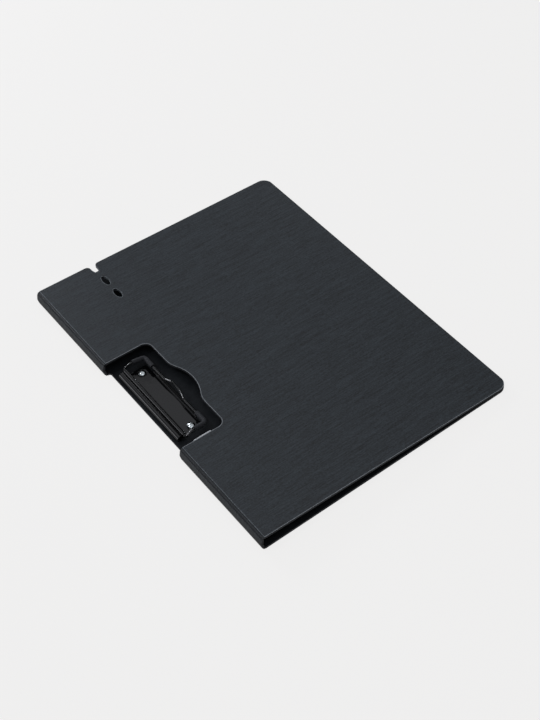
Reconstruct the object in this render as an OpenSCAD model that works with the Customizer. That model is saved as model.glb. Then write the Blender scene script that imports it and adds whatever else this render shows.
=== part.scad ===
// Folding clipboard: a sheet of foamed plastic, creased into a back cover, a spine and a front
// cover, with a low wire clip riveted inside beside the spine. The spine has a crease of its own
// half way up, at which it bows out when the clipboard is shut.
// X runs from the spine to the open edge, Y along the spine, Z up. The origin is the middle of the
// folded clipboard, on the surface that it lies on. The covers are drawn folded shut.

/* [Covers] */
// Length of the covers, along the spine
board_l = 315; // [290:1:340]
// Width of the folded clipboard, from the outside of its creases to the open edge
board_w = 237.3; // [215:0.1:260]
// Thickness of the sheet
sheet_t = 2; // [1.5:0.1:3]
// Height of the spine over the outside of both covers
spine_h = 14.4; // [13.8:0.1:22]
// Radius of the covers' outer corners
corner_r = 8.5; // [2:0.5:20]
// How far the spine's middle crease stands out from the other two
spine_bow = 1.2; // [0.4:0.1:2.4]
// Thickness of the web at the spine's middle crease
ridge_web = 0.7; // [0.4:0.05:1]
// Gap between a crease's web and the panel beside it
crease_gap = 0.3; // [0.2:0.05:0.6]
// Gap between the shut covers at the open edge
shut_gap = 0.15; // [0.1:0.05:1]

/* [Cut-out over the clip] */
// Gap between the bail's arms and the ends of the cut-out, with both in line
cut_clear = 8.7; // [4:0.1:15]
// Shift of the cut-out from the middle of the spine
cut_y = -0.2; // [-4:0.1:4]
// Depth of the cut-out in the front cover, from the spine's face
cut_depth = 42; // [39:0.1:60]
// Radius of the cut-out's inner corners
cut_r = 6.5; // [3:0.5:12]
// How much deeper the thumb bay in the middle is
bay_depth = 7.1; // [4:0.1:12]
// Half the length of the thumb bay
bay_half = 27; // [24:0.5:34]
// Radius of the thumb bay's rounded bottom
bay_r = 35; // [28:0.5:45]
// Depth of the cut-out in the back cover, from the spine's face
back_cut = 4.5; // [3.2:0.1:5.2]
// Radius of the back cover's corners at that cut
back_cut_r = 2; // [0.5:0.1:2.5]

/* [Pen slots] */
// Distance of the pen slots from the spine's face
pen_x = 53; // [52:0.1:70]
// Width of an oval pen slot
slot_w = 5.4; // [5:0.1:9]
// Length of an oval pen slot
slot_l = 11.8; // [10:0.1:20]
// Radius of an oval pen slot's ends
slot_end_r = 1.6; // [1:0.1:2.2]
// Spacing of the pen slots, middle to middle
slot_pitch = 18.6; // [17:0.1:24]
// Distance of the notch's round bottom from the cover's end
notch_l = 10.7; // [8:0.1:20]
// Radius of the corners at the notch's mouth
notch_r = 3.6; // [1:0.1:4]

/* [Clip plate] */
// Shift of the clip from the middle of the spine
clip_y = 1.8; // [-4:0.1:4]
// Thickness of the sheet steel
steel_t = 0.6; // [0.4:0.05:0.8]
// Distance of the clip's back from the spine's face
clip_x = 6.5; // [5.8:0.1:7.5]
// Outer radius of the rolled back edge
roll_r = 2.7; // [2.2:0.1:3]
// Length of the flat plate
plate_l = 80; // [72:0.5:88]
// How far the rolled back edge runs past the plate at each end
roll_over = 1.3; // [0.5:0.1:2.5]
// How far the turned-up front lip stops short of the plate at each end
lip_inset = 10; // [9:0.5:18]
// Inner radius of the bend below the front lip
lip_bend_r = 0.8; // [0.4:0.1:1.5]
// Radius of the plate's corners
plate_corner_r = 3; // [1:0.5:4]

/* [Wire bail] */
// Diameter of the wire
wire_d = 2; // [1.6:0.1:2.4]
// Radial clearance of the wire in its hinge roll
pivot_fit = 0.05; // [0.02:0.01:0.1]
// Distance of the bail's hinge axis from the axis of the rolled back edge
pivot_dx = 3.8; // [3.7:0.05:4.4]
// Height of the hinge axis above the axis of the rolled back edge
pivot_dz = 2.3; // [2:0.05:2.8]
// Distance of the bail's front run from the hinge axis
bail_reach = 19.2; // [18:0.1:22]
// Distance of the bend in each arm from the hinge axis
knee_reach = 6.4; // [5.5:0.1:7.5]
// Height of that bend above the hinge axis
knee_rise = 2.7; // [2:0.1:3.5]
// Height of the bail's front run above the clip plate
bail_rise = 5.6; // [4.5:0.1:6.5]
// Gap between the bail's arms and the ends of the roll that it turns in
arm_gap = 1.9; // [1.6:0.1:3]
// How much narrower the bail is at its front run
bail_taper = 3.2; // [0:0.1:5]
// Radius of the wire's bends at the hinge
hinge_bend_r = 1.5; // [1.2:0.05:1.55]
// Radius of the wire's bends in the arms
knee_bend_r = 5; // [3:0.5:8]
// Inner radius of a sleeve where it turns the bail's front corner
front_inner_r = 0.1; // [0.05:0.05:1.5]

/* [Thumb loop] */
// Length of the thumb loop at its foot
loop_l = 27; // [22:1:34]
// Length of the thumb loop's straight top
loop_top_l = 10; // [8:1:14]
// How far the thumb loop stands out to the front
loop_out = 1.9; // [0:0.1:3]
// How far the thumb loop stands up
loop_up = 2.6; // [1:0.1:3.5]
// Radius of the wire's bends in the thumb loop
loop_bend_r = 6; // [3:0.5:8]

/* [Rubber sleeves] */
// Outer diameter of a sleeve
sleeve_d = 3.9; // [3.2:0.1:4.6]
// Clearance of a sleeve's bore on the wire
sleeve_fit = 0.02; // [0.01:0.01:0.05]
// Distance of a sleeve's back end from the hinge axis
sleeve_back = 8.1; // [7.9:0.1:9.5]
// Gap between a sleeve's front end and the end of the front lip
sleeve_gap = 0.5; // [0.3:0.1:3]

/* [Rivets] */
// Distance of each rivet from the plate's end
rivet_inset = 5.5; // [5:0.1:9]
// Distance of the rivets from the clip's back
rivet_x = 17.3; // [15:0.1:19]
// Diameter of a rivet's shank
shank_d = 3.2; // [2.5:0.1:4]
// Diameter of a rivet's domed head
head_d = 6.6; // [5.5:0.1:7.5]
// Height of the domed head
head_h = 2.2; // [1.8:0.1:2.8]
// Height of the head's straight side, below the dome
head_side = 0.7; // [0.3:0.1:1]
// Thickness of the flange on the outside of the back cover
tail_t = 0.5; // [0.3:0.05:0.7]
// Radial clearance of a rivet in its holes and its recess
rivet_fit = 0.05; // [0.02:0.01:0.2]
// Width of the dished ring that each head sits in
dish_w = 1.2; // [0.5:0.1:1.5]
// Depth of the dished ring
dish_h = 0.3; // [0.1:0.05:0.35]

/* [Hidden] */
$fn = 48;

eps = 0.01;
charcoal = [0.235, 0.25, 0.255];
satin_black = [0.13, 0.13, 0.14];
rubber_black = [0.09, 0.09, 0.095];
bright_steel = [0.8, 0.8, 0.82];

// Creases: each turns about a line at the middle of the sheet, and its round web fills the corner
// between two panels that stop short of it.
crease_x = sheet_t / 2;
back_crease_z = sheet_t / 2;
front_crease_z = spine_h - sheet_t / 2;
web_r = sheet_t / 2 - 0.02;
set_back = web_r + crease_gap;

// Spine: two strips, the foot and the panel, from the outer creases to the ridge between them.
half_span = (front_crease_z - back_crease_z) / 2;
ridge_x = crease_x - spine_bow;
ridge_z = back_crease_z + half_span;
bow = atan(spine_bow / half_span);
ridge_back = ridge_web / 2 + crease_gap;
strip_h = norm([spine_bow, half_span]) - set_back - ridge_back;
spine_out = ridge_x + ridge_back * sin(bow) - sheet_t / 2 * cos(bow);

// Covers: the front one lies tilted, down to the back one at the open edge.
cover_reach = board_w - crease_x;
shut_drop = front_crease_z - (sheet_t + shut_gap + sheet_t / 2);
tilt = asin(shut_drop / cover_reach);

// Thumb bay: a round bottom between two round shoulders that run on into the cut-out's straight edge.
// Curves that would only touch cross each other by curve_lap.
curve_lap = 0.02;
bay_dx = bay_r - bay_depth;
shoulder_r = (bay_half * bay_half + bay_dx * bay_dx - bay_r * bay_r) / (2 * bay_depth);
bay_tangent_y = bay_half * bay_r / (bay_r + shoulder_r);
bay_centre_x = cut_depth + bay_depth - bay_r;
bay_tangent_x = bay_centre_x + sqrt(bay_r * bay_r - bay_tangent_y * bay_tangent_y);

// Pen slots: the flanks' radius follows from the slot's width, length and end radius.
slot_end_y = slot_l / 2 - slot_end_r;
slot_half_w = slot_w / 2;
flank_r = (slot_end_y * slot_end_y + slot_half_w * slot_half_w - slot_end_r * slot_end_r)
    / (2 * (slot_half_w - slot_end_r));
flank_x = flank_r - slot_half_w;
flank_tangent_y = slot_end_y * flank_r / (flank_r - slot_end_r);

// Clip plate: lengths along the spine, and heights of the middle of the steel.
roll_l = plate_l + 2 * roll_over;
lip_l = plate_l - 2 * lip_inset;
rivet_y = plate_l / 2 - rivet_inset;
plate_z = sheet_t + steel_t / 2;
plate_top = sheet_t + steel_t;
plate_lap = 1;
roll_mid = roll_r - steel_t / 2;
roll_x = clip_x + roll_r;
roll_z = sheet_t + roll_r;
pivot_x = roll_x + pivot_dx;
pivot_z = roll_z + pivot_dz;
wire_r = wire_d / 2;
bend_swell = 0.01;
bend_lap = 0.05;
bore_r = wire_r + pivot_fit;
hinge_mid = bore_r + steel_t / 2;
hinge_open = 85;
pivot_dist = sqrt(pivot_dx * pivot_dx + pivot_dz * pivot_dz);
pivot_dir = atan2(pivot_dz, pivot_dx);
web_dir = pivot_dir + acos((roll_mid + hinge_mid) / pivot_dist);

// Bail: corner points of the wire's middle line, on the +Y half.
front_x = pivot_x + bail_reach;
front_z = plate_top + bail_rise;
arm_y = roll_l / 2 + arm_gap + wire_r;
sleeve_front = lip_l / 2 + sleeve_gap;
front_bend_r = sleeve_d / 2 + front_inner_r;
knee_part = knee_reach / bail_reach;
front_y = arm_y - bail_taper / 2;
hinge_pt = [pivot_x, arm_y, pivot_z];
knee_pt = [pivot_x + knee_reach, arm_y - bail_taper / 2 * knee_part, pivot_z + knee_rise];
front_pt = [front_x, front_y, front_z];
loop_foot = [front_x, loop_l / 2, front_z];
loop_top = [front_x + loop_out, loop_top_l / 2, front_z + loop_up];
lip_x = front_x;
lip_fit = 0.1;
lip_top = front_z - wire_r - lip_fit;
lip_bend_mid = lip_bend_r + steel_t / 2;

cut_l = 2 * (arm_y + wire_r + cut_clear);
panel_l_far = board_l / 2 - cut_y - cut_l / 2;
panel_l_near = board_l - cut_l - panel_l_far;
rivet_pos_x = clip_x + rivet_x;
head_seat = plate_top - dish_h;

// ---- helpers ----

function unit(v) = v / norm(v);
function mirror_y(p) = [p[0], -p[1], p[2]];
function turn(a, b, c) = acos(unit(b - a) * unit(c - b));
function cut_back(a, b, c, r) = r * tan(turn(a, b, c) / 2);

// Moves and turns what follows to stand on point p, with its axes along x, y and z.
module stand(p, x, y, z) {
    multmatrix([[x[0], y[0], z[0], p[0]], [x[1], y[1], z[1], p[1]], [x[2], y[2], z[2], p[2]], [0, 0, 0, 1]])
        children();
}

// A straight round length from a to b.
module straight(a, b, r) {
    z = unit(b - a);
    side = abs(z[1]) > 0.9 ? [1, 0, 0] : [0, 1, 0];
    x = unit(cross(side, z));
    stand(a, x, cross(z, x), z)
        cylinder(h = norm(b - a), r = r);
}

// A round bend of radius bend_r at corner b of the line a, b, c, a touch thicker than the straights
// that run into it, as bent wire is.
module bend(a, b, c, bend_r, r) {
    along = unit(b - a);
    onward = unit(c - b);
    inward = unit(onward - along * (along * onward));
    start = b - along * cut_back(a, b, c, bend_r);
    stand(start + inward * bend_r, -inward, along, cross(-inward, along))
        rotate_extrude(angle = turn(a, b, c), $fn = 72)
            translate([bend_r, 0])
                circle(r + bend_swell);
}

// A round bar through points pts, bent to radii[i] at each point. A radius of 0 is a cut end.
module bent_bar(pts, radii, r) {
    n = len(pts);
    closed = radii[0] > 0;
    function at(i) = pts[(i + n) % n];
    function back(i) = radii[i % n] == 0 ? 0 : cut_back(at(i - 1), at(i), at(i + 1), radii[i % n]) - bend_lap;
    for (i = [0 : closed ? n - 1 : n - 2]) {
        along = unit(at(i + 1) - at(i));
        straight(at(i) + along * back(i), at(i + 1) - along * back(i + 1), r);
    }
    for (i = [0 : n - 1])
        if (radii[i] > 0)
            bend(at(i - 1), at(i), at(i + 1), radii[i], r);
}

// A flat strip of steel in the clip's section, from p to q. It laps into the bends at its ends and
// is a touch thinner than they are.
module strip2d(p, q) {
    d = q - p;
    t = steel_t - bend_swell;
    translate(p)
        rotate(atan2(d[1], d[0]))
            translate([-bend_lap, -t / 2])
                square([norm(d) + 2 * bend_lap, t]);
}

// A bent strip of steel in the clip's section: centre c, middle radius r, from angle a0 to a1.
module arc2d(c, r, a0, a1) {
    steps = ceil((a1 - a0) / 60);
    far = 2 * (r + steel_t);
    translate(c)
        intersection() {
            difference() {
                circle(r + steel_t / 2);
                circle(r - steel_t / 2);
            }
            polygon(concat([[0, 0]], [for (i = [0 : steps])
                far * [cos(a0 + (a1 - a0) * i / steps), sin(a0 + (a1 - a0) * i / steps)]]));
        }
}

function on_circle(c, r, a) = c + r * [cos(a), sin(a)];

// Puts a body drawn from the outside of the creases into the part's own frame.
module placed() {
    translate([-(spine_out + board_w) / 2, 0, 0])
        children();
}

// Puts a section drawn in X and Z along Y, over length l about the middle of the clip.
module along_clip(l) {
    translate([0, clip_y + l / 2, 0])
        rotate([90, 0, 0])
            linear_extrude(l)
                children();
}

// ---- covers ----

// Outline of a cover from its crease to the open edge, with two round corners.
module cover_outline(x0, x1) {
    y = board_l / 2;
    difference() {
        translate([x0, -y])
            square([x1 - x0, 2 * y]);
        for (s = [-1, 1])
            translate([x1, s * y])
                difference() {
                    square(2 * corner_r, center = true);
                    translate([-corner_r, -s * corner_r])
                        circle(corner_r);
                }
    }
}

// The cut-out with its round inner corners and the thumb bay.
module cut_outline() {
    half = cut_l / 2;
    difference() {
        translate([-sheet_t, cut_y - half])
            square([cut_depth + sheet_t, cut_l]);
        for (s = [-1, 1])
            translate([cut_depth, cut_y + s * half])
                difference() {
                    square(2 * cut_r, center = true);
                    translate([-cut_r, -s * cut_r])
                        circle(cut_r);
                }
    }
    difference() {
        translate([cut_depth - eps, -bay_half])
            square([bay_tangent_x - cut_depth + eps, 2 * bay_half]);
        for (s = [-1, 1])
            translate([cut_depth + shoulder_r - curve_lap, s * bay_half])
                circle(shoulder_r, $fn = 180);
    }
    translate([bay_centre_x, 0])
        circle(bay_r + curve_lap, $fn = 180);
}

// An oval of four arcs: two round flanks and two tighter round ends.
module pen_slot() {
    intersection() {
        translate([-flank_x, 0])
            circle(flank_r, $fn = 180);
        translate([flank_x, 0])
            circle(flank_r, $fn = 180);
        square([slot_w, 2 * flank_tangent_y], center = true);
    }
    for (s = [-1, 1])
        translate([0, s * slot_end_y])
            circle(slot_end_r + curve_lap);
}

// Two closed slots in line with a notch in the cover's end, for the barrel and clip of a pen.
module pen_slots() {
    first = board_l / 2 - notch_l + slot_l / 2;
    mouth = slot_w / 2 + notch_r;
    for (i = [1, 2])
        translate([pen_x, first - i * slot_pitch])
            pen_slot();
    translate([pen_x, board_l / 2]) {
        translate([0, slot_l / 2 - notch_l])
            pen_slot();
        translate([curve_lap - slot_w / 2, slot_l / 2 - notch_l])
            square([slot_w - 2 * curve_lap, notch_l]);
        difference() {
            translate([-mouth, -notch_r])
                square([2 * mouth, 2 * notch_r]);
            for (s = [-1, 1])
                translate([s * mouth, curve_lap - notch_r])
                    circle(notch_r);
        }
    }
}

// The shallow cut in the back cover's edge, with round corners.
module back_cut_outline(x0) {
    translate([x0 - eps, -cut_l / 2])
        square([back_cut - x0 + eps - back_cut_r, cut_l]);
    translate([0, -cut_l / 2 + back_cut_r])
        square([back_cut, cut_l - 2 * back_cut_r]);
    for (s = [-1, 1])
        translate([back_cut - back_cut_r, s * (cut_l / 2 - back_cut_r)])
            circle(back_cut_r);
}

module back_cover() {
    x0 = crease_x + set_back;
    color(charcoal)
        placed()
            difference() {
                linear_extrude(sheet_t)
                    difference() {
                        cover_outline(x0, board_w);
                        translate([0, cut_y])
                            back_cut_outline(x0);
                    }
                for (s = [-1, 1])
                    translate([rivet_pos_x, clip_y + s * rivet_y, 0]) {
                        translate([0, 0, -eps])
                            cylinder(h = sheet_t + 2 * eps, r = shank_d / 2 + rivet_fit);
                        translate([0, 0, -eps])
                            cylinder(h = tail_t + eps, r = head_d / 2 + rivet_fit);
                    }
            }
}

module front_cover() {
    color(charcoal)
        placed()
            translate([crease_x, 0, front_crease_z])
                rotate([0, tilt, 0])
                    translate([-crease_x, 0, -sheet_t / 2])
                        linear_extrude(sheet_t)
                            difference() {
                                cover_outline(crease_x + set_back, board_w);
                                cut_outline();
                                pen_slots();
                            }
}

// A strip of the spine on the outer crease at height z, up (1) or down (-1) from it to the ridge.
module spine_strip(y0, l, z, up) {
    color(charcoal)
        placed()
            translate([crease_x, y0, z])
                rotate([0, -up * bow, 0])
                    translate([-sheet_t / 2, 0, up > 0 ? set_back : -set_back - strip_h])
                        cube([sheet_t, l, strip_h]);
}

module spine_panel_far() {
    spine_strip(board_l / 2 - panel_l_far, panel_l_far, front_crease_z, -1);
}

module spine_panel_near() {
    spine_strip(-board_l / 2, panel_l_near, front_crease_z, -1);
}

module spine_foot_far() {
    spine_strip(board_l / 2 - panel_l_far, panel_l_far, back_crease_z, 1);
}

module spine_foot_near() {
    spine_strip(-board_l / 2, panel_l_near, back_crease_z, 1);
}

// The web of sheet that stays at a crease.
module crease(y0, l, x, z, r) {
    color(charcoal)
        placed()
            translate([x, y0, z])
                rotate([-90, 0, 0])
                    cylinder(h = l, r = r);
}

module back_crease_far() {
    crease(board_l / 2 - panel_l_far, panel_l_far, crease_x, back_crease_z, web_r);
}

module back_crease_near() {
    crease(-board_l / 2, panel_l_near, crease_x, back_crease_z, web_r);
}

module ridge_crease_far() {
    crease(board_l / 2 - panel_l_far, panel_l_far, ridge_x, ridge_z, ridge_web / 2);
}

module ridge_crease_near() {
    crease(-board_l / 2, panel_l_near, ridge_x, ridge_z, ridge_web / 2);
}

module front_crease_far() {
    crease(board_l / 2 - panel_l_far, panel_l_far, crease_x, front_crease_z, web_r);
}

module front_crease_near() {
    crease(-board_l / 2, panel_l_near, crease_x, front_crease_z, web_r);
}

// ---- clip ----

// The rolled back edge: round the back, over the top, down to the front and up round the bail's wire.
module roll_section() {
    roll = [roll_x, roll_z];
    pivot = [pivot_x, pivot_z];
    arc2d(roll, roll_mid, web_dir, 270);
    strip2d([roll_x, plate_z], [roll_x + plate_lap, plate_z]);
    strip2d(on_circle(roll, roll_mid, web_dir), on_circle(pivot, hinge_mid, web_dir + 180));
    arc2d(pivot, hinge_mid, web_dir + 180, web_dir + 540 - hinge_open);
}

// The turned-up lip that the bail's front run closes on.
module lip_section() {
    corner = [lip_x - lip_bend_mid, plate_z + lip_bend_mid];
    strip2d([corner[0] - plate_lap, plate_z], [corner[0], plate_z]);
    arc2d(corner, lip_bend_mid, 270, 360);
    strip2d([lip_x, corner[1]], [lip_x, lip_top - bend_lap]);
}

module plate_outline() {
    x0 = roll_x;
    x1 = lip_x - lip_bend_mid;
    y = plate_l / 2;
    difference() {
        translate([x0, clip_y - y])
            square([x1 - x0, plate_l]);
        for (s = [-1, 1])
            translate([x1, clip_y + s * y])
                difference() {
                    square(2 * plate_corner_r, center = true);
                    translate([-plate_corner_r, -s * plate_corner_r])
                        circle(plate_corner_r);
                }
    }
}

module clip_plate() {
    color(satin_black)
        placed() {
            along_clip(roll_l)
                roll_section();
            along_clip(lip_l)
                lip_section();
            difference() {
                translate([0, 0, sheet_t])
                    linear_extrude(steel_t)
                        plate_outline();
                for (s = [-1, 1])
                    translate([rivet_pos_x, clip_y + s * rivet_y, 0]) {
                        translate([0, 0, sheet_t - eps])
                            cylinder(h = steel_t + 2 * eps, r = shank_d / 2 + rivet_fit);
                        translate([0, 0, head_seat])
                            cylinder(h = dish_h, r1 = head_d / 2 + rivet_fit, r2 = head_d / 2 + dish_w);
                    }
            }
        }
}

module bail_wire() {
    half = [hinge_pt, knee_pt, front_pt, loop_foot, loop_top];
    bends = [hinge_bend_r, knee_bend_r, front_bend_r, loop_bend_r, loop_bend_r];
    back_half = [for (i = [4 : -1 : 0]) mirror_y(half[i])];
    color(satin_black)
        placed()
            translate([0, clip_y, 0])
                bent_bar(concat(half, back_half), concat(bends, [for (i = [4 : -1 : 0]) bends[i]]), wire_r);
}

// A sleeve round the bail's front corner on the +Y side.
module corner_sleeve() {
    arm = unit(front_pt - knee_pt);
    start = knee_pt + arm * (sleeve_back - knee_reach) / arm[0];
    end = [front_x, sleeve_front, front_z];
    out = unit(end - front_pt);
    difference() {
        bent_bar([start, front_pt, end], [0, front_bend_r, 0], sleeve_d / 2);
        bent_bar([start - arm, front_pt, end + out], [0, front_bend_r, 0], wire_r + sleeve_fit);
    }
}

module corner_sleeve_far() {
    color(rubber_black)
        placed()
            translate([0, clip_y, 0])
                corner_sleeve();
}

module corner_sleeve_near() {
    color(rubber_black)
        placed()
            translate([0, clip_y, 0])
                mirror([0, 1, 0])
                    corner_sleeve();
}

// Rivets: a domed head on the clip, a shank, and a flange let into the outside of the back cover.
module rivets() {
    color(bright_steel)
        placed()
            for (s = [-1, 1])
                translate([rivet_pos_x, clip_y + s * rivet_y, 0]) {
                    cylinder(h = tail_t, r = head_d / 2);
                    cylinder(h = head_seat + eps, r = shank_d / 2);
                    translate([0, 0, head_seat])
                        rivet_head();
                }
}

module rivet_head() {
    r = head_d / 2;
    cap_h = head_h - head_side;
    dome_r = (r * r + cap_h * cap_h) / (2 * cap_h);
    rotate_extrude()
        intersection() {
            translate([0, head_h - dome_r])
                circle(dome_r, $fn = 120);
            square([r, head_h]);
        }
}

back_cover();
front_cover();
spine_panel_far();
spine_panel_near();
spine_foot_far();
spine_foot_near();
back_crease_far();
back_crease_near();
ridge_crease_far();
ridge_crease_near();
front_crease_far();
front_crease_near();
clip_plate();
bail_wire();
corner_sleeve_far();
corner_sleeve_near();
rivets();
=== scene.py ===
# %% [markdown]
# # A folding clipboard of creased plastic sheet
# The object is one charcoal sheet of foamed polypropylene, creased three times so that
# it folds flat round a spine of two narrow strips. A low wire clip is riveted to the
# inside of the back cover, and a cut-out in the front cover lets the hand reach it.
# The CAD model gives every rigid form and its place. This lesson gives those forms
# what a hand or an eye notices: softened arrises, the pale line beside a die's cut,
# which is whitened skin with a painted highlight, thin folded webs with a painted
# shade in their grooves, and finishes that answer the light as the real ones do.

# %% Load the imported model
import math

import bmesh
import bpy
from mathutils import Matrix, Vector


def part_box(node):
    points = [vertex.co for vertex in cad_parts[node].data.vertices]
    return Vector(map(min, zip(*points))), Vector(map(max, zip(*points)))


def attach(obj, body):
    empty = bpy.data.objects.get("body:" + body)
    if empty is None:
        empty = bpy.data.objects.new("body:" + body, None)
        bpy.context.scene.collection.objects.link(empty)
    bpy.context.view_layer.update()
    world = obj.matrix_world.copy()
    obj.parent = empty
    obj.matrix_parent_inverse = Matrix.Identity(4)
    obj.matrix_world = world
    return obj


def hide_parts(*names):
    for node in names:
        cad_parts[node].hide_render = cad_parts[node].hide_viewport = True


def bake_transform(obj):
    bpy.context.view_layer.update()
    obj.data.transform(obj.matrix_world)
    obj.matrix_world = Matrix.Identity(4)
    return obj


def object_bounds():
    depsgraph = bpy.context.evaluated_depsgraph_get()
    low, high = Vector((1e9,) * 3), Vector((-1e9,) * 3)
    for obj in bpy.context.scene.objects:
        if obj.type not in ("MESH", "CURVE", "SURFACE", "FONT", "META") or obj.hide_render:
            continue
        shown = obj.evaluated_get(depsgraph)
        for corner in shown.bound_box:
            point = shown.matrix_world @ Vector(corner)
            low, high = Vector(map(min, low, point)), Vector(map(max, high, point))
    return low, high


MM = 0.001
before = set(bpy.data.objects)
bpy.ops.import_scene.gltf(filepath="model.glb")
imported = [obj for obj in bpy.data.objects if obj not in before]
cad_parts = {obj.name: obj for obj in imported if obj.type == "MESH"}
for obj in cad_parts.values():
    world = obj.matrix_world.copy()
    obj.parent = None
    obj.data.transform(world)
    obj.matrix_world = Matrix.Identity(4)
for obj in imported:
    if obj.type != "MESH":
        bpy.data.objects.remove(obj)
cad_low, cad_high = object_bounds()
print("CAD box in mm:", [round((b - a) / MM, 1) for a, b in zip(cad_low, cad_high)])

# %% [markdown]
# ## The camera
# A product picture is taken from well above with a long lens, so that the sheet's
# edges stay nearly parallel. The camera stands 1.1 m away, beyond the spine's near end,
# and 48 degrees up. It leans a few degrees, as a camera held in the hand does.

# %% Camera
camera_data = bpy.data.cameras.new("camera")
camera_data.lens = 69.495  # mm, on a sensor 36 mm wide
camera_data.sensor_width = 36.0
camera = bpy.data.objects.new("camera", camera_data)
camera.location = (-0.40425, -0.63148, 0.83501)
camera.rotation_euler = [math.radians(a) for a in (41.1598, 3.4106, -36.7825)]
bpy.context.scene.collection.objects.link(camera)
bpy.context.scene.camera = camera
bpy.context.scene.view_settings.view_transform = "Standard"
print("camera at", [round(c, 3) for c in camera.location])

# %% [markdown]
# ## Helpers for materials
# Colours are written as a designer writes them, in sRGB hex. Shaders count in linear
# light, so one function turns a code into linear numbers. A second function adds a
# node with its settings and its links, so that a material reads as a short list. Two
# short ones open and close a material.

# %% Colour and node helpers
def linear(code):
    parts = [int(code[i : i + 2], 16) / 255 for i in (1, 3, 5)]
    return (*(c / 12.92 if c <= 0.04045 else ((c + 0.055) / 1.055) ** 2.4 for c in parts), 1)


def add(tree, kind, links=(), **settings):
    """Adds a node. Settings name its own fields or its sockets; links feed its sockets."""
    node = tree.nodes.new(kind)
    for key, value in settings.items():
        if hasattr(node, key):
            setattr(node, key, value)
        else:
            node.inputs[key.replace("_", " ")].default_value = value
    for socket, source in dict(links).items():
        tree.links.new(source, node.inputs[socket])
    return node


def new_material(name):
    material = bpy.data.materials.new(name)
    material.use_nodes = True
    material.node_tree.nodes.clear()
    return material, material.node_tree


def close_material(tree, shader):
    add(tree, "ShaderNodeOutputMaterial", {"Surface": shader.outputs[0]})


print("white is", linear("#FFFFFF")[0])

# %% [markdown]
# ## The sheet's brushed skin
# The sheet is foamed polypropylene. A roller with fine lines presses its outer skin,
# so it looks like brushed metal. The lines run across the spine and over it. They are
# about 0.1 mm wide, too fine to show, but they lie in uneven bundles that do, so the
# bundles are drawn and not the lines. Noise that is stretched twenty times as far along
# the lines as across them gives bundles about 16 mm long and 0.8 mm wide. A second
# noise, 1.5 mm by 0.9 mm, breaks them up into dashes. The two are added, and their sum
# changes the tone and the roughness and tilts the surface.

# %% Brushed polypropylene, outside
BUNDLES_PER_METRE = (62.0, 1200.0, 62.0)
DASHES_PER_METRE = (650.0, 1100.0, 650.0)
SUM_LOW, SUM_HIGH = 0.74, 1.26  # the sum of the two noises is seldom outside these


def brushed_sheet(name, dark, light):
    material, tree = new_material(name)
    where = add(tree, "ShaderNodeTexCoord")
    drawn = add(tree, "ShaderNodeMapping", {"Vector": where.outputs["Object"]},
                Scale=BUNDLES_PER_METRE)
    lines = add(tree, "ShaderNodeTexNoise", {"Vector": drawn.outputs[0]},
                Scale=1.0, Detail=3.0, Roughness=0.6)
    broken = add(tree, "ShaderNodeMapping", {"Vector": where.outputs["Object"]},
                 Scale=DASHES_PER_METRE)
    dashes = add(tree, "ShaderNodeTexNoise", {"Vector": broken.outputs[0]},
                 Scale=1.0, Detail=2.0, Roughness=0.6)
    bundles = add(tree, "ShaderNodeMath", {0: lines.outputs[0], 1: dashes.outputs[0]},
                  operation="ADD")
    spread = add(tree, "ShaderNodeMapRange", {"Value": bundles.outputs[0]},
                 From_Min=SUM_LOW, From_Max=SUM_HIGH)
    shade = add(tree, "ShaderNodeMixRGB", {"Fac": spread.outputs[0]},
                Color1=linear(dark), Color2=linear(light))
    rough = add(tree, "ShaderNodeMapRange", {"Value": bundles.outputs[0]},
                From_Min=SUM_LOW, From_Max=SUM_HIGH, To_Min=0.47, To_Max=0.4)
    bump = add(tree, "ShaderNodeBump", {"Height": bundles.outputs[0]},
               Strength=0.75, Distance=0.05 * MM)
    skin = add(tree, "ShaderNodeBsdfPrincipled",
               {"Base Color": shade.outputs[0], "Roughness": rough.outputs[0],
                "Normal": bump.outputs[0]}, IOR=1.49)
    close_material(tree, skin)
    return material


# Brushed skin: black plastic under a grey satin veil, uneven from line to line.
sheet_outside = brushed_sheet("foamed_polypropylene_brushed", "#060A0D", "#2D3439")
# Painted highlight along the fold: the same brushed lines in a lighter tone, also round the
# pen slots.
fold_highlight_sheet = brushed_sheet("foamed_polypropylene_fold_painted_highlight", "#33383B", "#696F73")
print(sheet_outside.name, "and", fold_highlight_sheet.name)

# %% [markdown]
# ## Plain finishes with a fine grain
# No real surface has one even tone. Paint has orange peel, rubber a bloom, a cut edge
# torn cells. Each of the next finishes is a principled shader with one noise, whose
# grain is given in millimetres. The noise moves the tone between two close colours,
# the roughness between two close values, and the surface by a few thousandths of a
# millimetre.

# %% A grained finish
GRAIN_LOW, GRAIN_HIGH = 0.3, 0.7  # one noise is seldom outside these


def grained(name, dark, light, grain, rough, bump, **even):
    """grain and bump are in mm; rough is a pair; what is even goes on the shader itself."""
    material, tree = new_material(name)
    where = add(tree, "ShaderNodeTexCoord")
    noise = add(tree, "ShaderNodeTexNoise", {"Vector": where.outputs["Object"]},
                Scale=1 / (grain * MM), Detail=3.0, Roughness=0.55)
    spread = add(tree, "ShaderNodeMapRange", {"Value": noise.outputs[0]},
                 From_Min=GRAIN_LOW, From_Max=GRAIN_HIGH)
    shade = add(tree, "ShaderNodeMixRGB", {"Fac": spread.outputs[0]},
                Color1=linear(dark), Color2=linear(light))
    shine = add(tree, "ShaderNodeMapRange", {"Value": noise.outputs[0]},
                From_Min=GRAIN_LOW, From_Max=GRAIN_HIGH, To_Min=rough[0], To_Max=rough[1])
    relief = add(tree, "ShaderNodeBump", {"Height": noise.outputs[0]},
                 Strength=0.25, Distance=bump * MM)
    body = add(tree, "ShaderNodeBsdfPrincipled",
               {"Base Color": shade.outputs[0], "Roughness": shine.outputs[0],
                "Normal": relief.outputs[0]}, **even)
    close_material(tree, body)
    return material


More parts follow.
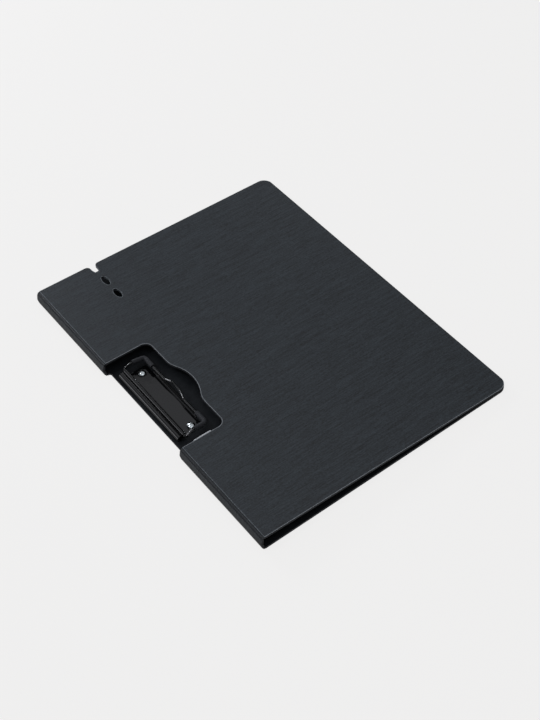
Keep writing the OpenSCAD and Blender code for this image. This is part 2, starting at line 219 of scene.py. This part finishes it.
# %% The sheet's other surfaces
# Smooth inner skin: a clean black with a low sheen, since no lines scatter the light.
sheet_inside = grained("foamed_polypropylene_smooth", "#181A1C", "#1E2022", 6.0,
                       (0.32, 0.38), 0.01, Specular_IOR_Level=0.07)
# Cut wall: torn cells scatter the light evenly, so the edge is a dull dark grey.
sheet_cut = grained("foamed_polypropylene_cut_wall", "#303134", "#3B3C3F", 0.6,
                    (0.6, 0.75), 0.05, Specular_IOR_Level=0.25)
# Pressed arris: the die stretches the skin beside its cut, and stretched skin whitens. The
# tone is lighter still, a painted highlight along the rounded arris.
arris_whitened_with_highlight = grained("foamed_polypropylene_whitened_painted_highlight", "#66696C", "#7C8184", 1.2,
                      (0.5, 0.6), 0.02, Specular_IOR_Level=0.4)
# Crease: the skin is ironed flat in the groove, so it is even. Its darker, duller tone is
# painted shade of the groove.
crease_with_painted_shade = grained("foamed_polypropylene_crease_painted_shade", "#181B1D", "#222528", 1.5,
                       (0.48, 0.56), 0.02, Specular_IOR_Level=0.28)
sheet = [sheet_outside, sheet_inside, sheet_cut, arris_whitened_with_highlight, fold_highlight_sheet]
# The fourth surface is the pale band beside a die's cut, whitened skin with a painted
# highlight. The fifth is a painted highlight along the fold, in the brushed lines.
OUTSIDE, INSIDE, WALL, WHITE_WITH_HIGHLIGHT, FOLD_HIGHLIGHT = range(len(sheet))
print("surfaces of a panel:", len(sheet))

# %% Paint, rubber, nickel and paper
# Stoved enamel on the flat plate: a mirror with the faintest orange peel.
black_plate = grained("stoved_enamel_plate", "#070708", "#0A0A0B", 3.0,
                      (0.05, 0.09), 0.004, IOR=1.52)
# The same enamel on the wire, where the coat is thinner and its shine a little softer.
black_wire = grained("stoved_enamel_wire", "#08090A", "#0C0D0E", 2.0,
                     (0.1, 0.16), 0.004, IOR=1.52)
# Extruded rubber tube: a dark grey bloom that spreads the light wide.
black_rubber = grained("extruded_rubber_tube", "#242528", "#2B2C2F", 1.0,
                       (0.75, 0.85), 0.02, Specular_IOR_Level=0.3)
# Nickel plate on a pressed steel rivet: bright, cool and faintly uneven.
bright_nickel = grained("nickel_plated_steel", "#B9C0C2", "#CBD1D2", 0.5,
                        (0.1, 0.2), 0.003, Metallic=1.0)
# Uncoated paper: pale, matt and faintly cloudy.
label_paper = grained("uncoated_label_paper", "#C2C4C6", "#CDCFD1", 1.5,
                      (0.8, 0.9), 0.02)
print("finishes:", len(bpy.data.materials))

# %% [markdown]
# ## Dressed copies of the rigid pieces
# Each rigid piece starts as a copy of its CAD node. The copy's loose triangles are
# merged and its flat faces joined. On the covers a narrow band is inset along every
# edge of the outer face, for the pale line beside a die's cut: whitened skin with a
# painted highlight. Then a small bevel softens each sharp edge, because a perfectly
# sharp one shows no line of light.
# Large flat faces stay flat in the shading through weighted normals.

# %% Copy, merge, band and soften
MERGE = 0.002 * MM  # vertices closer than this become one
FLAT = math.radians(1)  # faces that turn less against each other become one
SHARP = math.radians(38)  # edges that turn more get an arris
SMOOTH = math.radians(35)  # edges that turn less are smooth in the shading
# The pale line is whitened skin with a painted highlight.
BAND_WIDTH = 0.5 * MM  # the pale line beside the die's cut
# Widths of the bevels in mm. The wire is round and has none.
ARRIS = {"cover": 0.16, "strip": 0.2, "plate": 0.06, "wire": 0, "tube": 0.2, "rivet": 0.35}


def show(name, mesh, body):
    piece = bpy.data.objects.new(name, mesh)
    bpy.context.scene.collection.objects.link(piece)
    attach(piece, body)
    return piece


def dressed(node, name, materials, pick, arris, body, band=None):
    """pick and band give a face's material; arris is the width of the bevel in mm."""
    bm = bmesh.new()
    bm.from_mesh(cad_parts[node].data)
    bmesh.ops.remove_doubles(bm, verts=bm.verts, dist=MERGE)
    bmesh.ops.dissolve_limit(bm, angle_limit=FLAT, verts=bm.verts, edges=bm.edges)
    for face in bm.faces:
        face.material_index = pick(face)
    if band:
        outer = [f for f in bm.faces if f.material_index == OUTSIDE]
        ring = bmesh.ops.inset_region(bm, faces=outer, thickness=BAND_WIDTH,
                                      use_even_offset=True, use_boundary=True)
        for face in ring["faces"]:
            face.material_index = band(face)
    if arris:
        sharp = [e for e in bm.edges
                 if len(e.link_faces) == 2 and e.calc_face_angle() > SHARP]
        bmesh.ops.bevel(bm, geom=sharp, offset=arris * MM, segments=2, profile=0.5,
                        affect="EDGES", material=-1, clamp_overlap=True)
    for face in bm.faces:
        face.smooth = True
    mesh = bpy.data.meshes.new(name)
    bm.to_mesh(mesh)
    bm.free()
    for material in materials:
        mesh.materials.append(material)
    mesh.set_sharp_from_angle(angle=SMOOTH)
    piece = show(name, mesh, body)
    flatten = piece.modifiers.new("flat_faces_stay_flat", "WEIGHTED_NORMAL")
    flatten.keep_sharp = True
    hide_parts(node)
    print(name, len(mesh.polygons), "faces")


# %% [markdown]
# ## The two covers
# The outer face is brushed, the inner one smooth, and the walls between them are cut.
# A narrow band runs along the rim of each outer face. Where a die cut through the
# pressed skin the band is pale, whitened skin with a painted highlight along the arris.
# Along the free edges opposite the spine and at the far end the sheet was cut in the
# roll, before its skin was pressed, and the band stays brushed. Along the spine the band
# and the cover's end wall are brushed in a lighter tone, a painted highlight along the
# fold. The pen slots' rims take that same lighter tone.

# %% Covers
FACING = 0.7  # a normal's share in a direction, above which the face looks that way
ROLLED_RIM = 1.2 * MM  # reach of the rim along the sheet's rolled edges
FOLD_RIM = 8 * MM  # reach of the rim along the spine
PEN_CORNER_X, PEN_CORNER_Y = -50 * MM, 105 * MM  # the pen slots are in this corner
spine_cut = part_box("spine_panel_far")[0].y


def skin(outward, edge):
    """The outer or the inner skin where the face looks that way, and else the edge."""
    return OUTSIDE if outward > FACING else INSIDE if outward < -FACING else edge


def cover_edge(face):
    at_fold = face.normal.x < -FACING and abs(face.calc_center_median().y) > spine_cut
    # The cover's end wall at the fold carries the painted highlight along the fold.
    return FOLD_HIGHLIGHT if at_fold else WALL


def upper_skin(face):
    return skin(face.normal.z, cover_edge(face))


def lower_skin(face):
    return skin(-face.normal.z, cover_edge(face))


def die_cut(face):
    middle = face.calc_center_median()
    rolled = middle.x > cad_high[0] - ROLLED_RIM or middle.y > cad_high[1] - ROLLED_RIM
    folded = middle.x < cad_low[0] + FOLD_RIM and abs(middle.y) > spine_cut
    pierced = middle.x < PEN_CORNER_X and middle.y > PEN_CORNER_Y
    # Pale: whitened skin with a painted highlight. Along the fold and round the pen slots: a
    # painted highlight in the brushed lines.
    return OUTSIDE if rolled else FOLD_HIGHLIGHT if folded or pierced else WHITE_WITH_HIGHLIGHT


dressed("front_cover", "front_cover_sheet", sheet, upper_skin, ARRIS["cover"], "cover",
        band=die_cut)
dressed("back_cover", "back_cover_sheet", sheet, lower_skin, ARRIS["cover"], "back",
        band=die_cut)

# %% [markdown]
# ## The spine's four strips
# Each half of the spine is two strips, an upper and a lower one, with a crease along
# the ridge between them. Their outer faces are brushed as the covers are, because all
# of it is one sheet, and the roller's lines run straight on over the creases.

# %% Strips
def spine_skin(face):
    return skin(-face.normal.x, WALL)


for half in ("far", "near"):
    dressed(f"spine_panel_{half}", f"spine_strip_upper_{half}", sheet, spine_skin,
            ARRIS["strip"], "spine")
    dressed(f"spine_foot_{half}", f"spine_strip_lower_{half}", sheet, spine_skin,
            ARRIS["strip"], "foot")

# %% [markdown]
# ## The folded webs
# A crease is pressed with a blunt rule, which leaves a web about half as thick as the
# sheet. The web bends when the clipboard opens; nothing else of the sheet does. It is
# made from one face as wide as the web is thick: extruded out of the first panel, spun
# round the fold, and extruded into the second panel.

# %% One web
BEND_STEPS = 8
WEB_MERGE = 0.001 * MM
END_FACING = 0.5  # a face whose normal lies more along Y than this is one of the ends


def loose_parts(region, kind):
    return [part for part in region if isinstance(part, kind)]


def folded_web(crease, name, body_a, body_b, toward_a, toward_b, outer, inner, reach, bend):
    """toward_a and toward_b are (x, z) directions from the fold; lengths are in mm."""
    low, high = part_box(crease)
    fold = (low + high) / 2
    to_a = Vector((toward_a[0], 0, toward_a[1])).normalized()
    to_b = Vector((toward_b[0], 0, toward_b[1])).normalized()
    turn = math.pi - to_a.angle(to_b)
    out = -(to_b - to_a * to_a.dot(to_b)).normalized()
    start = fold + to_a * reach * MM
    bm = bmesh.new()

    def pulled(face, step):
        new = bmesh.ops.extrude_face_region(bm, geom=[face])["geom"]
        bmesh.ops.translate(bm, vec=step, verts=loose_parts(new, bmesh.types.BMVert))
        return loose_parts(new, bmesh.types.BMFace)[0]

    sides = ((outer, low.y), (outer, high.y), (-inner, high.y), (-inner, low.y))
    face = bm.faces.new([bm.verts.new(start + out * side * MM + Vector((0, y - fold.y, 0)))
                         for side, y in sides])
    face = pulled(face, -to_a * (reach - bend) * MM)
    centre = fold + to_a * bend * MM - out * bend * MM / math.tan(turn / 2)
    spun = bmesh.ops.spin(bm, geom=[face], cent=centre, axis=to_a.cross(out), angle=turn,
                          steps=BEND_STEPS, use_duplicate=False)["geom_last"]
    pulled(loose_parts(spun, bmesh.types.BMFace)[0], to_b * (reach - bend) * MM)
    bmesh.ops.remove_doubles(bm, verts=bm.verts, dist=WEB_MERGE)
    bmesh.ops.recalc_face_normals(bm, faces=bm.faces)
    for face in bm.faces:
        face.smooth = abs(face.normal.y) < END_FACING
    mesh = bpy.data.meshes.new(name)
    bm.to_mesh(mesh)
    bm.free()
    # Its darker, duller finish paints the shade in the groove.
    mesh.materials.append(crease_with_painted_shade)
    mesh.set_sharp_from_angle(angle=SMOOTH)
    web = bpy.data.objects.new(name, mesh)
    bpy.context.scene.collection.objects.link(web)
    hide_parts(crease)
    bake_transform(web)
    print(name, "turns", round(math.degrees(turn), 1), "degrees")


# %% Six webs
# Lengths in mm. A cover's web joins it to a strip. The ridge's web reaches less far and
# stands further out, since the two strips that it joins are nearly in line.
COVER_WEB = {"outer": 0.5, "inner": 0.35, "reach": 1.38, "bend": 0.7}
RIDGE_WEB = {"outer": 0.9, "inner": 0.3, "reach": 0.75, "bend": 0.35}
ALONG_BACK = (1, 0)
ALONG_FRONT = (0.99906, -0.04337)  # the shut front cover slopes down by 2.5 degrees


def between(fold, other):
    """The (x, z) direction from one fold to another, along the strip that joins them."""
    a, b = ((low + high) / 2 for low, high in (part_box(fold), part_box(other)))
    return (b.x - a.x, b.z - a.z)


for half in ("far", "near"):
    back, ridge, front = (f"{place}_crease_{half}" for place in ("back", "ridge", "front"))
    folded_web(back, f"web_back_{half}", "back", "foot", ALONG_BACK,
               between(back, ridge), **COVER_WEB)
    folded_web(ridge, f"web_ridge_{half}", "foot", "spine", between(ridge, back),
               between(ridge, front), **RIDGE_WEB)
    folded_web(front, f"web_front_{half}", "spine", "cover", between(front, ridge),
               ALONG_FRONT, **COVER_WEB)

# %% [markdown]
# ## The clip
# The clip is one pressing of sheet steel: a flat plate that is riveted to the sheet,
# rolled over into a round back edge, and rolled the other way round the bail's wire.
# Its paint is stoved, so it is as smooth as glass. The bail is bent from one wire. Two
# short rubber tubes grip its front corners, so that paper doesn't slip. All of these
# are rigid and right in the CAD model, so they only need merging and small bevels.

# %% Clip, bail, sleeves and rivets
def one_finish(face):
    return 0  # the only material


dressed("clip_plate", "clip_pressing", [black_plate], one_finish, ARRIS["plate"], "back")
dressed("bail_wire", "bail_bent_wire", [black_wire], one_finish, ARRIS["wire"], "bail")
for half in ("far", "near"):
    dressed(f"corner_sleeve_{half}", f"rubber_tube_{half}", [black_rubber], one_finish,
            ARRIS["tube"], "bail")
dressed("rivets", "nickel_rivets", [bright_nickel], one_finish, ARRIS["rivet"], "back")

# %% [markdown]
# ## A bare label
# A small pale label lies on the inside of the back cover, under the near rim of the
# cut-out, where only its edge shows. It is a thin rounded rectangle of paper: one face,
# its corners bevelled, then extruded to the paper's thickness. It carries nothing.

# %% Label
PAPER = 0.12 * MM
LABEL_CORNER = 1.5 * MM
LABEL_FROM_PLATE = (10.1 * MM, 26.6 * MM)  # its two sides, from the plate's back edge
LABEL_Y = (-56.3 * MM, -45.1 * MM)


def bare_label(x0, x1, y0, y1):
    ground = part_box("clip_plate")[0].z  # the plate lies on the same inner face
    bm = bmesh.new()
    bm.faces.new([bm.verts.new((x, y, ground)) for x, y in
                  ((x0, y0), (x1, y0), (x1, y1), (x0, y1))])
    bmesh.ops.bevel(bm, geom=list(bm.verts), offset=LABEL_CORNER, segments=5,
                    profile=0.5, affect="VERTICES", material=-1)
    top = bmesh.ops.extrude_face_region(bm, geom=list(bm.faces))["geom"]
    bmesh.ops.translate(bm, vec=(0, 0, PAPER), verts=loose_parts(top, bmesh.types.BMVert))
    bmesh.ops.recalc_face_normals(bm, faces=bm.faces)
    mesh = bpy.data.meshes.new("bare_label")
    bm.to_mesh(mesh)
    bm.free()
    mesh.materials.append(label_paper)
    return show("bare_label", mesh, "back")


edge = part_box("clip_plate")[0]
label = bare_label(*(edge.x + reach for reach in LABEL_FROM_PLATE), *LABEL_Y)
print("label", [round(c / MM, 1) for c in label.dimensions])

# %% [markdown]
# ## Floor and background
# The floor is a wide pale sheet. Its diffuse part takes the object's shadow. A plain
# emission lifts it to the pale grey of a studio sweep. The camera sees that emission
# in full and all other rays see less than half of it, so that the floor doesn't light
# the object from below. The world does the same.

# %% Floor and world
FLOOR_FOR_OTHERS, FLOOR_FOR_CAMERA = 0.32, 0.8155
WORLD_FOR_OTHERS, WORLD_FOR_CAMERA = 0.04, 0.79
FLOOR_REACH = 30.0  # metres from the middle to each side
FLOOR_DROP = 0.0001  # metres below the object, so that no two faces coincide


def level_by_ray(tree, other_rays, camera_rays):
    """A strength with one value for the camera and another for all other rays."""
    ray = add(tree, "ShaderNodeLightPath")
    level = add(tree, "ShaderNodeMapRange", {"Value": ray.outputs["Is Camera Ray"]},
                To_Min=other_rays, To_Max=camera_rays)
    return level.outputs[0]


def pale_floor():
    material, tree = new_material("pale_studio_floor")
    matt = add(tree, "ShaderNodeBsdfDiffuse", Color=(0.07, 0.07, 0.07, 1))
    level = level_by_ray(tree, FLOOR_FOR_OTHERS, FLOOR_FOR_CAMERA)
    lit = add(tree, "ShaderNodeEmission", {"Strength": level}, Color=(1.0, 0.995, 0.99, 1))
    both = add(tree, "ShaderNodeAddShader", {0: matt.outputs[0], 1: lit.outputs[0]})
    close_material(tree, both)
    return material


bm = bmesh.new()
bmesh.ops.create_grid(bm, x_segments=2, y_segments=2, size=FLOOR_REACH)
floor_mesh = bpy.data.meshes.new("studio_floor")
bm.to_mesh(floor_mesh)
bm.free()
floor_mesh.materials.append(pale_floor())
floor = bpy.data.objects.new("studio_floor", floor_mesh)
floor.location.z = -FLOOR_DROP
bpy.context.scene.collection.objects.link(floor)

world = bpy.data.worlds.new("studio_world")
bpy.context.scene.world = world
world.use_nodes = True
world.node_tree.nodes.clear()
level = level_by_ray(world.node_tree, WORLD_FOR_OTHERS, WORLD_FOR_CAMERA)
glow = add(world.node_tree, "ShaderNodeBackground", {"Strength": level}, Color=(1, 1, 1, 1))
add(world.node_tree, "ShaderNodeOutputWorld", {"Surface": glow.outputs[0]})
print("floor and world ready")

# %% [markdown]
# ## Light
# A gloss black object shows its lights more than its colour, so each light is placed
# for what it draws. Rods that lie along Y mirror only a cone of directions about Y. The
# two softboxes beyond the far end stay out of that cone and draw no line on the rods.
# One of them stands close, and gives the covers their gradient. Two low softboxes on
# the spine's side draw the soft line on the rolled back edge and lift the strips. A
# small bright window leaves the sharp glints on the wire and the rivets. A fill from
# the camera's side mirrors nothing and lifts the level everywhere. A wide overhead
# sheet gives the plate its even grey, and ends where the plate's reflection of it ends.
# No lamp is seen by the camera itself, whichever side it looks from.

# %% Soft lights
DAYLIGHT = (0.98, 1.0, 1.06)


def soft_light(name, azimuth, elevation, distance, width, height, radiance):
    """Faces the object from a direction in degrees; radiance 1 renders as white."""
    data = bpy.data.lights.new(name, "AREA")
    data.shape = "RECTANGLE"
    data.size, data.size_y = width, height
    data.color = DAYLIGHT
    data.energy = radiance * math.pi * width * height
    lamp = bpy.data.objects.new(name, data)
    a, e = math.radians(azimuth), math.radians(elevation)
    way = Vector((math.cos(e) * math.cos(a), math.cos(e) * math.sin(a), math.sin(e)))
    lamp.location = way * distance
    lamp.rotation_euler = way.to_track_quat("Z", "Y").to_euler()
    lamp.visible_camera = False
    bpy.context.scene.collection.objects.link(lamp)
    print(name, round(data.energy, 1), "W")
    return lamp


# Name, azimuth, elevation, distance, width, height, radiance
for lamp in (("softbox_far_end", 100, 21, 1.35, 0.55, 0.34, 15.8),
             ("softbox_beyond", 50, 24, 4.0, 1.0, 1.0, 2.0),
             ("softbox_beside_spine", 147, 7, 4.0, 2.0, 0.8, 3.0),
             ("softbox_above_spine", 143, 22, 4.0, 2.0, 1.3, 0.75),
             ("small_window", 153, 57, 4.0, 0.4, 0.4, 45.0),
             ("fill_camera_side", -105, 52, 4.0, 2.4, 2.4, 0.7)):
    soft_light(*lamp)

# The overhead sheet is level. Two of its edges lie across the line of sight, and it is
# set a little towards the camera, which puts its far edge where the plate mirrors it.
OVERHEAD_TURN, OVERHEAD_HEIGHT, OVERHEAD_SHIFT = 53.2, 1.6, 0.242
overhead = soft_light("overhead_sheet", OVERHEAD_TURN, 89.9, OVERHEAD_HEIGHT, 3.2, 3.2, 0.585)
turn = math.radians(OVERHEAD_TURN)
overhead.rotation_euler = (0, 0, turn)
overhead.location = (-OVERHEAD_SHIFT * math.cos(turn), -OVERHEAD_SHIFT * math.sin(turn),
                     OVERHEAD_HEIGHT)
